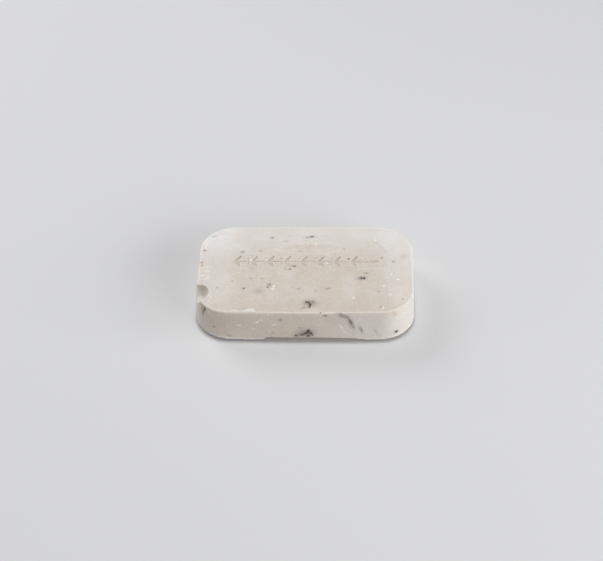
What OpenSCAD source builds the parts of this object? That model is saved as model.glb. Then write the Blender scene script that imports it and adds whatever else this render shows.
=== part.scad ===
// Bar of pressed soap with dried lavender through it.
// The origin is in the middle of the underside, the length runs along X and the width along Y.
// The face looks up, and the front wall looks along -Y.

/* [Bar] */
// Length at the foot
bar_l = 97.8; // [84:0.2:120]
// Width at the foot
bar_w = 58.4; // [50:0.2:74]
// Height of the face above the surface the bar lies on
bar_h = 17.4; // [14:0.2:28]
// Radius of the corners, seen from above
corner_r = 15.3; // [12:0.1:20]
// How far a wall leans in from foot to face
wall_draft = 0.4; // [0.1:0.1:1]

/* [Face and foot] */
// Width of the margin where the face falls away
pillow_w = 8; // [4:0.5:11]
// How far the face falls at its edge
pillow_fall = 0.35; // [0.1:0.05:0.8]
// Radius of the edge between face and wall
edge_r = 0.4; // [0.2:0.1:1]
// Width of the margin where the underside curves up
relief_w = 7; // [4:0.5:11]
// Height of the foot's edge above the surface the bar lies on
rim_h = 0.8; // [0.4:0.1:1.4]
// Thickness of the pressing flash under the foot's edge
flash_t = 0.4; // [0.2:0.1:0.8]
// How far that flash hangs down
flash_h = 0.3; // [0.1:0.05:0.35]

/* [Sunk band and sprig] */
// Length of the sunk band
band_l = 71; // [56:0.5:76]
// Width of the sunk band
band_w = 9.6; // [8.6:0.1:12]
// Depth of the sunk band
band_depth = 0.35; // [0.2:0.05:0.8]
// How far the band's walls slope outwards
band_slope = 0.5; // [0.2:0.1:1]
// Distance of the band's middle behind the middle of the bar
band_y = 4.8; // [2:0.2:6]
// Depth of the sprig below the band
sprig_depth = 0.5; // [0.3:0.05:1]
// Width of the sprig's stem
stem_w = 1; // [0.6:0.1:1.6]
// Number of pairs of leaves
leaf_pairs = 8; // [4:1:9]
// Length of a leaf
leaf_l = 4.9; // [3.4:0.1:5.2]
// Width of a leaf
leaf_w = 1.9; // [1:0.1:2.4]
// Angle between a leaf and the stem
leaf_angle = 48; // [35:1:55]
// Length of the leaf at the sprig's tip
tip_l = 5.6; // [4:0.1:7]
// Diameter of the berries between the leaves
berry_d = 1.1; // [0.6:0.1:1.3]

/* [Oval dish] */
// Length of the dish
dish_l = 29; // [18:0.5:36]
// Width of the dish
dish_w = 6.6; // [4:0.2:7.4]
// Depth of the dish
dish_depth = 0.6; // [0.3:0.05:1]
// Gap between the dish and the sunk band
dish_gap = 0.6; // [0.3:0.1:1.5]

/* [Broken and worn places] */
// Radius of the scoop out of the left end
bite_r = 5; // [3:0.1:6]
// Radius of the flake off the front left corner
flake_r = 9; // [7:0.5:12]
// How far that flake cuts into the face
flake_cut = 2.3; // [1:0.1:3]
// How far the back left corner is worn down
worn_drop = 0.8; // [0.3:0.1:1.6]
// Reach of the worn corner along the face
worn_reach = 15; // [10:0.5:18]
// Height of the missing stretch of the foot's front edge
gap_h = 0.8; // [0.3:0.1:1.2]
// Length of that missing stretch
gap_l = 31; // [16:1:40]
// Length of the curled burr on the front edge
burr_l = 16.5; // [8:0.5:18]
// Greatest height of that burr
burr_h = 0.9; // [0.4:0.1:1.2]
// Width of the burr's foot on the face
burr_w = 1.8; // [1:0.1:2.4]

/* [Dried flowers] */
// Size of the flower pieces, as a share of their true size
flower_scale = 1; // [0.8:0.05:1.15]
// Length of the longest petal of a flower head
petal_l = 5; // [4:0.1:5.6]
// Width of a narrow petal
petal_w = 2; // [1.6:0.1:2.3]
// Length of a common bud
bud_l = 4; // [3.2:0.1:4.6]
// Width of a slim bud
bud_w = 1; // [0.8:0.05:1.15]
// Length of a common shred of leaf
shred_l = 5; // [4:0.1:5.7]
// Width of a narrow shred of leaf
shred_w = 1; // [0.8:0.05:1.15]
// Diameter of a small seed
seed_d = 1; // [0.8:0.05:1.15]
// How far a flower piece stands proud of the soap
proud = 0.08; // [0.02:0.02:0.2]

/* [Hidden] */

// Number of straight steps that stand for a full turn of a small, a middling and a very large arc
small_fn = 32;
arc_fn = 96;
wide_fn = 1440;
// Angle between the steps along the side of a bud or petal
plump_step = 22.5;
// How far a cutting tool reaches past the soap that it cuts
over = 1;

half_l = bar_l / 2;
half_w = bar_w / 2;
edge_z = bar_h - pillow_fall - edge_r;
wall_lean = atan(wall_draft / (edge_z - rim_h));

// The middles of the four corners
corner_x = half_l - corner_r;
corner_y = half_w - corner_r;

// The sprig fits between the two ends of its band
band_end = 2;
stem_l = band_l - 2 * band_end - tip_l;
leaf_pitch = (stem_l - stem_w) / leaf_pairs;
// Gap between a berry and the stem, and how far along the gap between two leaves it lies
berry_gap = 0.75;
berry_at = 0.86;
berry_out = stem_w / 2 + berry_d / 2 + berry_gap;
// How much wider the leaf at the tip is than the others
tip_widen = 1.15;
dish_y = band_y + band_w / 2 + dish_gap + dish_w / 2;

// Where things lie on the bar's outline, as angles about the nearest corner's middle
bite_angle = 183;
flake_angle = 226;
worn_angle = 132;
// How far above the face the middle of the scoop's ball lies
bite_lift = bite_r / 5;

// Where the missing stretch of the foot's edge and the burr begin, as shares of the half length
gap_from = -0.365;
burr_from = -0.77;
burr_heights = [0.35, 0.6, 0.5, 0.75, 0.65, 1];
// How far the burr's back lies inside the wall, and how deep its root goes into the soap
burr_skin = 0.05;
burr_root = 1.2;

// Flower pieces in the face: place as shares of the half length and half width, then length and
// width as shares of that kind's named size, and turn
face_heads = [
    [0.010, -0.77, 0.68, 1.15, 12],
    [0.072, -0.77, 0.72, 1.15, -12],
    [0.046, -0.86, 0.60, 1.00, 80]
];
face_buds = [
    [0.52, -0.235, 0.850, 1.90, -4],
    [0.56, -0.115, 0.525, 0.90, 5],
    [0.04, 0.745, 1.100, 1.10, 20],
    [-0.01, 0.675, 0.425, 0.80, 10],
    [-0.32, 0.71, 0.450, 1.20, 0],
    [-0.145, -0.04, 0.525, 0.90, 35],
    [-0.325, -0.40, 0.750, 1.10, 62],
    [0.21, -0.47, 0.575, 1.20, 12],
    [-0.06, -0.47, 0.400, 0.90, 0]
];
face_seeds = [
    [-0.555, -0.47, 1.3],
    [-0.43, 0.40, 1.0],
    [-0.59, 0.385, 1.3],
    [0.765, 0.25, 1.0],
    [0.81, 0.15, 1.1],
    [0.10, -0.53, 0.9],
    [-0.925, 0.40, 1.1]
];

// Flower pieces in the front wall: place as shares of the half length and of the height, then
// length and width as shares of that kind's named size, and turn
front_heads = [
    [-0.045, 0.19, 1.00, 1.10, 8],
    [0.022, 0.29, 0.92, 1.80, 30],
    [0.072, 0.25, 0.76, 1.50, -50]
];
front_shreds = [
    [0.331, 0.862, 0.88, 1.60, -24],
    [0.412, 0.615, 1.48, 1.80, -70],
    [0.51, 0.44, 1.20, 1.20, -72],
    [0.652, 0.32, 1.12, 0.60, -60],
    [-0.665, 0.21, 0.60, 0.90, 8]
];
front_seeds = [
    [-0.217, 0.71, 1.2],
    [0.19, 0.865, 1.3],
    [-0.285, 0.28, 0.9],
    [-0.05, 0.47, 0.9]
];

// Flower pieces in the rounded corners: corner, angle about its middle and share of the height,
// then length and width as shares of the named sizes and turn, or the share of the diameter
corner_buds = [[[-1, -1], 225, 0.775, 1.60, 1.90, 84]];
corner_seeds = [
    [[1, -1], 293, 0.30, 1.5],
    [[-1, -1], 244, 0.31, 0.9]
];

// Half of the bar's cross section, from the underside round the wall to the face.
// The first number is the distance in from the foot's outline, the second is the height.
function wall_section(depth) = concat(
    [[depth, 0]],
    [for (t = [0:0.25:1]) [relief_w - (relief_w - flash_t) * t, rim_h * t * t]],
    [[flash_t / 2, rim_h - flash_h], [0, rim_h]],
    [for (a = [0:30:90]) [wall_draft + edge_r * (1 - cos(a)), edge_z + edge_r * sin(a)]],
    [for (t = [0.25:0.25:1])
        [wall_draft + edge_r + (pillow_w - wall_draft - edge_r) * t,
         bar_h - pillow_fall * (1 - t) * (1 - t)]],
    [[depth, bar_h]]
);

// Fall of the face at a distance in from the foot's outline
function face_fall(inset) =
    let (t = min(1, (inset - wall_draft - edge_r) / (pillow_w - wall_draft - edge_r)))
    pillow_fall * (1 - t) * (1 - t);

// How far a wall leans in at a height
function lean_in(z) = wall_draft * (z - rim_h) / (edge_z - rim_h);

// A straight stretch of the bar's margin along X, its wall on the line y = 0 and looking along -Y
module straight_margin(length) {
    rotate([90, 0, 90]) translate([0, 0, -length / 2]) linear_extrude(length)
        polygon(wall_section(corner_r));
}

// A rounded corner of the margin, about the corner's middle
module corner_margin() {
    rotate_extrude(angle = 90, $fn = arc_fn)
        polygon([for (p = wall_section(corner_r)) [corner_r - p[0], p[1]]]);
}

// The bar as it leaves the die, before its ornament is pressed and before any damage
module bar_blank() {
    union() {
        linear_extrude(bar_h) square([2 * corner_x, 2 * corner_y], center = true);
        for (turn = [0, 180]) rotate([0, 0, turn]) {
            translate([0, -half_w, 0]) straight_margin(2 * corner_x);
            translate([half_l, 0, 0]) rotate([0, 0, 90]) straight_margin(2 * corner_y);
            translate([corner_x, corner_y, 0]) corner_margin();
            translate([-corner_x, corner_y, 0]) rotate([0, 0, 90]) corner_margin();
        }
    }
}

// A pocket with sloping walls: wider at the top than on its floor
module sloped_pocket(length, width, depth, slope) {
    grow = slope * (depth + over) / depth;
    intersection() {
        translate([0, width / 2 + grow, 0]) rotate([90, 0, 0]) linear_extrude(width + 2 * grow)
            polygon([[-length / 2 + slope, -depth], [length / 2 - slope, -depth],
                     [length / 2 - slope + grow, over], [-length / 2 + slope - grow, over]]);
        translate([-length / 2 - grow, 0, 0]) rotate([90, 0, 90]) linear_extrude(length + 2 * grow)
            polygon([[-width / 2 + slope, -depth], [width / 2 - slope, -depth],
                     [width / 2 - slope + grow, over], [-width / 2 + slope - grow, over]]);
    }
}

// A pointed leaf outline from its root at the origin, made by two arcs
module leaf(length, width) {
    r = (length * length + width * width) / (4 * width);
    translate([length / 2, 0]) intersection() {
        translate([0, width / 2 - r]) circle(r, $fn = arc_fn);
        translate([0, r - width / 2]) circle(r, $fn = arc_fn);
    }
}

// The outline of the sprig: a stem, pairs of leaves, berries between them and a leaf at the tip
module sprig() {
    start = -band_l / 2 + band_end;
    translate([start, -stem_w / 2]) square([stem_l + tip_l / 3, stem_w]);
    translate([start + stem_l, 0]) leaf(tip_l, leaf_w * tip_widen);
    for (i = [0:leaf_pairs - 1]) {
        x = start + stem_w + i * leaf_pitch;
        for (side = [-1, 1]) {
            translate([x, 0]) rotate(side * leaf_angle) leaf(leaf_l, leaf_w);
            translate([x + leaf_pitch * berry_at, side * berry_out]) circle(berry_d / 2, $fn = small_fn);
        }
    }
}

// A long round body turned about X, full in the middle and blunt at both ends
module plump(length, width) {
    rotate([0, 90, 0]) rotate_extrude($fn = small_fn)
        polygon([for (t = [-90:plump_step:90]) [width / 2 * cos(t), length / 2 * sin(t)]]);
}

// The tool that leaves an oval hollow of a given length, width and depth in a flat face.
// It is a long body turned about X by one flat arc, pointed at both ends.
module dish_tool(length, width, depth) {
    turn_r = (width * width / 4 + depth * depth) / (2 * depth);
    sweep_r = (length * length / 4 + depth * depth) / (2 * depth);
    half = sqrt(turn_r * (2 * sweep_r - turn_r));
    translate([0, 0, turn_r - depth]) rotate([0, 90, 0])
        rotate_extrude($fn = wide_fn / 8) intersection() {
            translate([turn_r - sweep_r, 0]) circle(sweep_r, $fn = wide_fn);
            translate([0, -half]) square([2 * turn_r, 2 * half]);
        }
}

// Puts what follows on the face, lying in it
module on_face(place, turn) {
    x = place[0] * half_l;
    y = place[1] * half_w;
    inset = min(half_w - abs(y), half_l - abs(x));
    translate([x, y, bar_h - face_fall(inset)]) rotate([0, 0, turn]) children();
}

// Puts what follows on the front wall, its Z pointing out of the wall
module on_front(place, turn) {
    x = place[0] * half_l;
    z = place[1] * bar_h;
    translate([x, lean_in(z) - half_w, z])
        rotate([90 - wall_lean, 0, 0]) rotate([0, 0, turn]) children();
}

// Puts what follows on a rounded corner, its Z pointing out of the wall
module on_corner(corner, angle, share, turn) {
    z = share * bar_h;
    out = corner_r - lean_in(z);
    translate([corner[0] * corner_x + out * cos(angle), corner[1] * corner_y + out * sin(angle), z])
        rotate([90 - wall_lean, 0, angle + 90]) rotate([0, 0, turn]) children();
}

// A bud, floret or shred that lies half sunk, its top pressed nearly flush
module sunk_piece(length, width) {
    l = length * flower_scale;
    w = width * flower_scale;
    intersection() {
        plump(l, w);
        translate([-l, -l, -l]) cube([2 * l, 2 * l, l + proud]);
    }
}

// A round seed, sunk the same way
module sunk_seed(diameter) {
    d = diameter * flower_scale;
    intersection() {
        sphere(d / 2, $fn = small_fn);
        translate([-d, -d, -d]) cube([2 * d, 2 * d, d + proud]);
    }
}

module head_shapes() {
    for (p = face_heads) on_face(p, p[4]) sunk_piece(p[2] * petal_l, p[3] * petal_w);
    for (p = front_heads) on_front(p, p[4]) sunk_piece(p[2] * petal_l, p[3] * petal_w);
}

module bud_shapes() {
    for (p = face_buds) on_face(p, p[4]) sunk_piece(p[2] * bud_l, p[3] * bud_w);
    for (p = corner_buds) on_corner(p[0], p[1], p[2], p[5]) sunk_piece(p[3] * bud_l, p[4] * bud_w);
}

module shred_shapes() {
    for (p = front_shreds) on_front(p, p[4]) sunk_piece(p[2] * shred_l, p[3] * shred_w);
}

module seed_shapes() {
    for (p = face_seeds) on_face(p, 0) sunk_seed(p[2] * seed_d);
    for (p = front_seeds) on_front(p, 0) sunk_seed(p[2] * seed_d);
    for (p = corner_seeds) on_corner(p[0], p[1], p[2], 0) sunk_seed(p[3] * seed_d);
}

// The scoop out of the left end and the flake off the front left corner
module corner_breaks() {
    translate([-corner_x + corner_r * cos(bite_angle), -corner_y + corner_r * sin(bite_angle),
               bar_h + bite_lift])
        sphere(bite_r, $fn = arc_fn);
    flake_out = corner_r + flake_r - flake_cut - wall_draft;
    translate([-corner_x + flake_out * cos(flake_angle), -corner_y + flake_out * sin(flake_angle),
               bar_h])
        sphere(flake_r, $fn = arc_fn);
}

// The flat that wear has left on the back left corner, as the block that is gone
module worn_corner() {
    translate([-corner_x + corner_r * cos(worn_angle), corner_y + corner_r * sin(worn_angle),
               bar_h - worn_drop])
        rotate([0, 0, worn_angle]) rotate([0, atan(worn_drop / worn_reach), 0])
            translate([-worn_reach - over, -2 * corner_r, 0])
                cube([worn_reach + 4 * over, 4 * corner_r, worn_drop + 5 * over]);
}

// The hollow under the front wall where the foot's edge has broken away
module foot_gap() {
    r = (gap_l * gap_l / 4 + gap_h * gap_h) / (2 * gap_h);
    slant = atan((rim_h + gap_h) / (relief_w + over));
    translate([gap_from * half_l + gap_l / 2, -half_w, rim_h + gap_h]) rotate([-slant, 0, 0])
        translate([0, relief_w * 2, -r]) rotate([90, 0, 0]) cylinder(h = relief_w * 4, r = r, $fn = wide_fn);
}

// The thin curled burr that the die has left along the front edge
module burr() {
    step = burr_l / len(burr_heights);
    for (i = [0:len(burr_heights) - 1]) {
        x = burr_from * half_l + i * step;
        h = burr_heights[i] * burr_h;
        translate([x, wall_draft - half_w, edge_z]) rotate([90, 0, 90])
            linear_extrude(step + 2 * burr_skin)
                polygon([[burr_skin, -burr_root], [2 * burr_skin, edge_r + h * 0.6],
                         [burr_w / 6, edge_r + h], [burr_w / 2, edge_r + h * 0.7],
                         [burr_w, edge_r * 0.6], [burr_w, -burr_root]]);
    }
}

module soap_bar() {
    color([0.86, 0.83, 0.79]) difference() {
        union() {
            difference() {
                bar_blank();
                worn_corner();
            }
            burr();
        }
        translate([0, band_y, bar_h]) sloped_pocket(band_l, band_w, band_depth, band_slope);
        translate([0, band_y, bar_h - band_depth - sprig_depth])
            linear_extrude(band_depth + sprig_depth + over) sprig();
        translate([0, dish_y, bar_h]) dish_tool(dish_l, dish_w, dish_depth);
        corner_breaks();
        foot_gap();
        head_shapes();
        bud_shapes();
        shred_shapes();
        seed_shapes();
    }
}

module flower_heads() { color([0.27, 0.22, 0.20]) head_shapes(); }
module flower_buds() { color([0.24, 0.19, 0.19]) bud_shapes(); }
module leaf_shreds() { color([0.33, 0.30, 0.31]) shred_shapes(); }
module seeds() { color([0.16, 0.12, 0.11]) seed_shapes(); }

soap_bar();
flower_heads();
flower_buds();
leaf_shreds();
seeds();
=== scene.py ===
import math
import random
import bmesh
import bpy
import numpy as np
from mathutils import Matrix, Vector, noise
from mathutils.bvhtree import BVHTree


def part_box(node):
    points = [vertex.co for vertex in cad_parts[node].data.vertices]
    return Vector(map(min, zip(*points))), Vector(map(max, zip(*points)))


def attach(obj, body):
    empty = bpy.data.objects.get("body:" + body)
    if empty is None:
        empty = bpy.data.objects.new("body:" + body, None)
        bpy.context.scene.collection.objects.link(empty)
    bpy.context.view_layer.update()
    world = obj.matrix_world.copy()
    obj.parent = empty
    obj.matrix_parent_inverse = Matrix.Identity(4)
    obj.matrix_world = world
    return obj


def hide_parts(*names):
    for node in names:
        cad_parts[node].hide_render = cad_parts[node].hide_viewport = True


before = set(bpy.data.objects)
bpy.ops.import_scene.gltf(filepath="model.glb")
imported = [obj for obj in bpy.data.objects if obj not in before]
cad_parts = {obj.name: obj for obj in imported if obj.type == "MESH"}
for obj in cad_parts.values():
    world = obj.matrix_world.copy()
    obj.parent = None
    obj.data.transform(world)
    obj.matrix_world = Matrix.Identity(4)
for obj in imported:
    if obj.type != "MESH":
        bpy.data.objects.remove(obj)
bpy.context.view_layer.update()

# The camera looks down at the front wall from a little over forty degrees, turned slightly to the
# left of the bar, through a long lens. It was placed by fitting the bar's outline.
CAMERA_TILT = math.radians(43.25)
CAMERA_TURN = math.radians(2.30)
CAMERA_ROLL = math.radians(-1.38)
CAMERA_FAR = 0.651
CAMERA_ASIDE = -0.00189
CAMERA_RAISE = 0.00704
CAMERA_NEAR = 0.01
CAMERA_LENS = 84.8
CAMERA_SENSOR = 36

turn = Matrix.Rotation(CAMERA_TURN, 3, "Z")
right = turn @ Vector((1, 0, 0))
up = turn @ Vector((0, math.sin(CAMERA_TILT), math.cos(CAMERA_TILT)))
ahead = turn @ Vector((0, math.cos(CAMERA_TILT), -math.sin(CAMERA_TILT)))
rolled_right = right * math.cos(CAMERA_ROLL) + up * math.sin(CAMERA_ROLL)
rolled_up = up * math.cos(CAMERA_ROLL) - right * math.sin(CAMERA_ROLL)
camera = bpy.data.objects.new("camera", bpy.data.cameras.new("camera"))
camera.data.lens = CAMERA_LENS
camera.data.sensor_width = CAMERA_SENSOR
camera.data.clip_start = CAMERA_NEAR
camera.matrix_world = Matrix.Translation(
    right * CAMERA_ASIDE + up * CAMERA_RAISE - ahead * CAMERA_FAR
) @ Matrix((rolled_right, rolled_up, -ahead)).transposed().to_4x4()
bpy.context.scene.collection.objects.link(camera)
bpy.context.scene.camera = camera

# The soap bar: one piece of hard, waxy toilet soap, pressed in a box die. Its walls lean in a little,
# its edges carry thin flash, and its corner has broken. Sizes here are in millimetres.
MM = 0.001
_, soap_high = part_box("soap_bar")
HALF_L = soap_high.x / MM
HALF_W = soap_high.y / MM
FACE_H = 17.2
CORNER_R = 15.3
CORNER_X = HALF_L - CORNER_R
CORNER_Y = HALF_W - CORNER_R
WALL_DRAFT = 0.4
EDGE_R = 0.7
PILLOW_W = 8
PILLOW_FALL = 0.35
RELIEF_W = 7
RIM_H = 1.4
FLASH_T = 0.4
SIDE_BOW = 0.8
END_BOW = 0.5
EDGE_Z = FACE_H - PILLOW_FALL - EDGE_R
EDGE_IN = WALL_DRAFT + EDGE_R


def ripple(points, size, shift=0.0):
    """Smooth noise from -1 to 1 at each point, in lumps of about that size."""
    return np.array([noise.noise(Vector(p)) for p in points / size + shift])


def ease(t):
    """A soft step from 0 to 1."""
    t = np.clip(t, 0, 1)
    return t * t * (3 - 2 * t)


def bell(t):
    """1 where t is 0, dying away softly on both sides."""
    return np.exp(-(t * t))


def inset_of(x, y):
    """Distance in from the foot's outline."""
    qx, qy = np.abs(x) - CORNER_X, np.abs(y) - CORNER_Y
    outer = np.hypot(np.maximum(qx, 0), np.maximum(qy, 0))
    return CORNER_R - outer - np.minimum(np.maximum(qx, qy), 0)


def bowed(x, y):
    """The long sides and the ends stand out a little in their middles."""
    drawn_x = x * (1 - END_BOW / HALF_L * (y / HALF_W) ** 2)
    drawn_y = y * (1 - SIDE_BOW / HALF_W * (x / HALF_L) ** 2)
    return drawn_x, drawn_y


# The sprig lies in a shallow sunk band, with an oval dish behind it. All three are the die's work, and
# a thin line of soap is pinched up along the band's front edge and round the sprig and the dish.
BAND_L, BAND_W, BAND_DEPTH, BAND_Y = 71, 9.6, 0.35, 4.9
BAND_END_SLOPE, BAND_BACK_SLOPE, BAND_FRONT_SLOPE = 2.2, 3.2, 0.6
PINCH_H, PINCH_MORE, PINCH_W = 0.06, 0.16, 0.3
PINCH_IN, PINCH_WANDER = 0.1, 0.45
PINCH_LEFT, PINCH_RIGHT, PINCH_FADE = -24, 23, 3
SPRIG_DEPTH, SPRIG_SLOPE = 0.5, 0.3
SPRIG_LIP_H, SPRIG_LIP_OUT, SPRIG_LIP_W = 0.10, 0.28, 0.16
STEM_W = 1.0
LEAF_PAIRS = 8
LEAF_L, LEAF_W = 4.9, 1.9
LEAF_ANGLE = math.radians(48)
TIP_L, TIP_W = 5.6, LEAF_W * 1.15
BERRY_D = 1.1
BERRY_ALONG = 0.86
BERRY_SHALLOW = -0.02
BAND_END = 2
STEM_L = BAND_L - 2 * BAND_END - TIP_L
LEAF_PITCH = (STEM_L - STEM_W) / LEAF_PAIRS
BERRY_GAP = 0.75
BERRY_OUT = STEM_W / 2 + BERRY_D / 2 + BERRY_GAP
DISH_L, DISH_W, DISH_DEPTH = 29, 6.6, 0.7
DISH_GAP = 0.6
DISH_X = 1.4
DISH_Y = BAND_Y + BAND_W / 2 + DISH_GAP + DISH_W / 2
DISH_STEEP, DISH_LEAN = 0.55, 0.35
DISH_LIP_H, DISH_LIP_OUT, DISH_LIP_W = 0.16, 1.3, 0.32
DISH_WOBBLE_SLOW, DISH_WOBBLE_QUICK = 0.07, 0.05


def box_distance(x, y, length, width):
    return np.maximum(np.abs(x) - length / 2, np.abs(y) - width / 2)


def leaf_distance(x, y, root_x, root_y, angle, length, width):
    """Distance outside a pointed leaf made by two arcs, from its root."""
    along = (x - root_x) * math.cos(angle) + (y - root_y) * math.sin(angle) - length / 2
    across = (y - root_y) * math.cos(angle) - (x - root_x) * math.sin(angle)
    r = (length * length + width * width) / (4 * width)
    return np.hypot(along, np.abs(across) + r - width / 2) - r


def sprig_distance(x, y):
    """Distance outside the sprig: a stem, pairs of leaves, berries pressed less deep, and a tip."""
    start = -BAND_L / 2 + BAND_END
    stem_l = STEM_L + TIP_L / 3
    nearest = box_distance(x - start - stem_l / 2, y, stem_l, STEM_W)
    nearest = np.minimum(nearest, leaf_distance(x, y, start + STEM_L, 0, 0, TIP_L, TIP_W))
    for i in range(LEAF_PAIRS):
        root = start + STEM_W + i * LEAF_PITCH
        for side in (-1, 1):
            leaf = leaf_distance(x, y, root, 0, side * LEAF_ANGLE, LEAF_L, LEAF_W)
            berry_x = root + LEAF_PITCH * BERRY_ALONG
            berry = np.hypot(x - berry_x, y - side * BERRY_OUT) - BERRY_D / 2
            nearest = np.minimum(nearest, np.minimum(leaf, np.maximum(berry, BERRY_SHALLOW)))
    return nearest


def pinch_line(x):
    """How far back the pinched line lies along the band's front edge, where it wanders a little."""
    wander = np.sin(x * 0.55 + 2.6) * np.cos(x * 0.21)
    return BAND_Y - BAND_W / 2 + PINCH_IN + PINCH_WANDER * wander


def pinch_whole(x):
    """1 towards the ends of the pinched line, which stand whole, and 0 in its worn middle."""
    return ease((PINCH_LEFT - x) / PINCH_FADE) + ease((x - PINCH_RIGHT) / PINCH_FADE)


def dish_share(x, y):
    """How far out of the uneven dish a point lies: 0 in its middle and 1 on its edge."""
    oval = ((x - DISH_X) / (DISH_L / 2)) ** 2 + ((y - DISH_Y) / (DISH_W / 2)) ** 2
    slow_wobble = DISH_WOBBLE_SLOW * np.sin(1.1 * x + 0.7 * y)
    return oval + slow_wobble + DISH_WOBBLE_QUICK * np.sin(2.7 * x)


def face_height(x, y):
    """The face as the die left it."""
    inset = inset_of(x, y)
    t = np.clip((inset - EDGE_IN) / (PILLOW_W - EDGE_IN), 0, 1)
    height = FACE_H - PILLOW_FALL * (1 - t) ** 2
    band_end = ease((BAND_L / 2 - np.abs(x)) / BAND_END_SLOPE + 0.5)
    band_back = ease((BAND_Y + BAND_W / 2 - y) / BAND_BACK_SLOPE + 0.2)
    band_front = ease((y - BAND_Y + BAND_W / 2) / BAND_FRONT_SLOPE + 0.5)
    height -= BAND_DEPTH * band_end * band_back * band_front
    pinch = PINCH_H + PINCH_MORE * pinch_whole(x)
    height += pinch * bell((y - pinch_line(x)) / PINCH_W) * band_end
    sprig = sprig_distance(x, y - BAND_Y)
    height -= SPRIG_DEPTH * ease(0.5 - sprig / SPRIG_SLOPE)
    height += SPRIG_LIP_H * bell((sprig - SPRIG_LIP_OUT) / SPRIG_LIP_W)
    dish = dish_share(x, y)
    dish_front = np.clip((DISH_Y - y) / (DISH_W / 2), -1, 1)
    height -= DISH_DEPTH * np.clip(1 - dish, 0, 1) ** DISH_STEEP * (1 + DISH_LEAN * dish_front)
    height += DISH_LIP_H * bell((dish - DISH_LIP_OUT) / DISH_LIP_W) * ease((DISH_Y - y) / 2)
    return height


WORN_ANGLE = math.radians(132)
WORN_DROP, WORN_REACH = 0.8, 15
CREASE_X, CREASE_Y = -47.5, 22.1
CREASE_KEPT = 0.75


def worn(x, y, height):
    """Wear has flattened the back left corner, up to a crease that runs along its back."""
    out_x, out_y = math.cos(WORN_ANGLE), math.sin(WORN_ANGLE)
    far = (x + CORNER_X) * out_x + (y - CORNER_Y) * out_y
    flat = FACE_H - WORN_DROP * (1 - (CORNER_R - far) / WORN_REACH)
    kept = ease((y - CREASE_Y) / 0.5) * ease((x - CREASE_X) / 1.5)
    cut = np.minimum(height, flat)
    return cut + (height - cut) * kept * CREASE_KEPT


# The face is a grid whose corners are drawn round. The wall, the flash and the underside are rings
# extruded from its border.
GRID_STEP = 0.42
FACE_INSET = EDGE_IN + 0.3
FINE_MARGIN = 0.6
WALL_RINGS = 33
FLASH_HANG = 0.3
RELIEF_RINGS = (1.3, 2.4, 3.6, 5.2, RELIEF_W)
FLAT_RINGS = (10, 14)


def round_corner(x, y):
    """Draws the square corner of a grid round."""
    reach = CORNER_R - FACE_INSET
    u, v = (abs(x) - CORNER_X) / reach, (abs(y) - CORNER_Y) / reach
    if u <= 0 or v <= 0:
        return x, y
    rx, ry = u * math.sqrt(1 - v * v / 2), v * math.sqrt(1 - u * u / 2)
    return math.copysign(CORNER_X + rx * reach, x), math.copysign(CORNER_Y + ry * reach, y)


bm = bmesh.new()
grid_x, grid_y = HALF_L - FACE_INSET, HALF_W - FACE_INSET
bmesh.ops.create_grid(
    bm,
    x_segments=round(2 * grid_x / GRID_STEP),
    y_segments=round(2 * grid_y / GRID_STEP),
    size=1,
    matrix=Matrix.Diagonal((grid_x, grid_y, 1, 1)),
)
fine = {
    f
    for f in bm.faces
    if abs(f.calc_center_median().x) < BAND_L / 2 + FINE_MARGIN
    and abs(f.calc_center_median().y - BAND_Y) < BAND_W / 2 + FINE_MARGIN
}
fine_edges = [e for e in bm.edges if any(f in fine for f in e.link_faces)]
bmesh.ops.subdivide_edges(bm, edges=fine_edges, cuts=1, use_grid_fill=True)
for v in bm.verts:
    v.co.x, v.co.y = round_corner(v.co.x, v.co.y)
    v.co.z = FACE_H

# Each ring is given by how far in from the foot's outline it lies, and how high.
fall_edge = FACE_H - PILLOW_FALL
rings = [(EDGE_IN + 0.14, fall_edge), (EDGE_IN, fall_edge)]
for degrees in (68, 45, 22, 0):
    a = math.radians(degrees)
    rings.append((WALL_DRAFT + EDGE_R * (1 - math.cos(a)), EDGE_Z + EDGE_R * math.sin(a)))
for i in range(1, WALL_RINGS + 1):
    down = i / WALL_RINGS
    rings.append((WALL_DRAFT * (1 - down), EDGE_Z + (RIM_H - EDGE_Z) * down))
rings += [(0.0, RIM_H - 0.6 * FLASH_HANG), (FLASH_T / 2, RIM_H - FLASH_HANG), (FLASH_T, RIM_H)]
for ring_in in RELIEF_RINGS:
    t = (RELIEF_W - ring_in) / (RELIEF_W - FLASH_T)
    rings.append((ring_in, RIM_H * t * t))
rings += [(ring_in, 0) for ring_in in FLAT_RINGS]

border = [e for e in bm.edges if e.is_boundary]
for ring_in, height in rings:
    made = bmesh.ops.extrude_edge_only(bm, edges=border)["geom"]
    border = [g for g in made if isinstance(g, bmesh.types.BMEdge) and g.is_boundary]
    for v in {v for e in border for v in e.verts}:
        core_x = max(-CORNER_X, min(CORNER_X, v.co.x))
        core_y = max(-CORNER_Y, min(CORNER_Y, v.co.y))
        out = Vector((v.co.x - core_x, v.co.y - core_y, 0)).normalized()
        v.co = Vector((core_x, core_y, 0)) + out * (CORNER_R - ring_in)
        v.co.z = height
bmesh.ops.edgeloop_fill(bm, edges=border)
bmesh.ops.recalc_face_normals(bm, faces=bm.faces)
soap_mesh = bpy.data.meshes.new("soap_bar_pressed")
bm.to_mesh(soap_mesh)
bm.free()

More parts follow.
